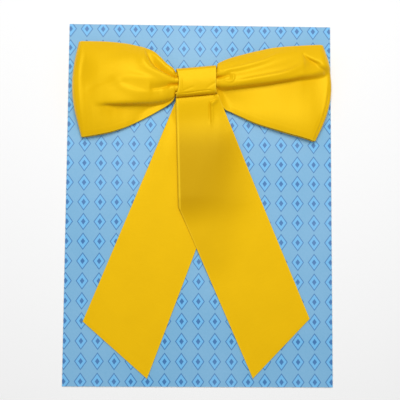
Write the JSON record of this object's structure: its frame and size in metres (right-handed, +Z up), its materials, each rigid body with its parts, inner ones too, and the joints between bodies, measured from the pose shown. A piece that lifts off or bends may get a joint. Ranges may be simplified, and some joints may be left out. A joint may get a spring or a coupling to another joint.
{
  "type": "satin neck bow on a backing card",
  "caption": "Tied satin neck bow with puffed loops, a knot band and slanted tails, pinned flat on a plain backing card.",
  "frame": {"origin": "centre of the backing card's underside, which rests on the surface", "axes": "+X to the right across the card, +Y along the card towards the knot, +Z up out of the card, towards the viewer"},
  "size_m": [0.22, 0.3, 0.0166],
  "materials": {
    "satin": "satin",
    "card": "satin",
    "pin_steel": "polished"
  },
  "bodies": {
    "root": {"backing_card": "card", "pin": "pin_steel", "tail_left": "satin", "tail_right": "satin", "loop_left": "satin", "loop_right": "satin", "knot": "satin"}
  },
  "joints": []
}
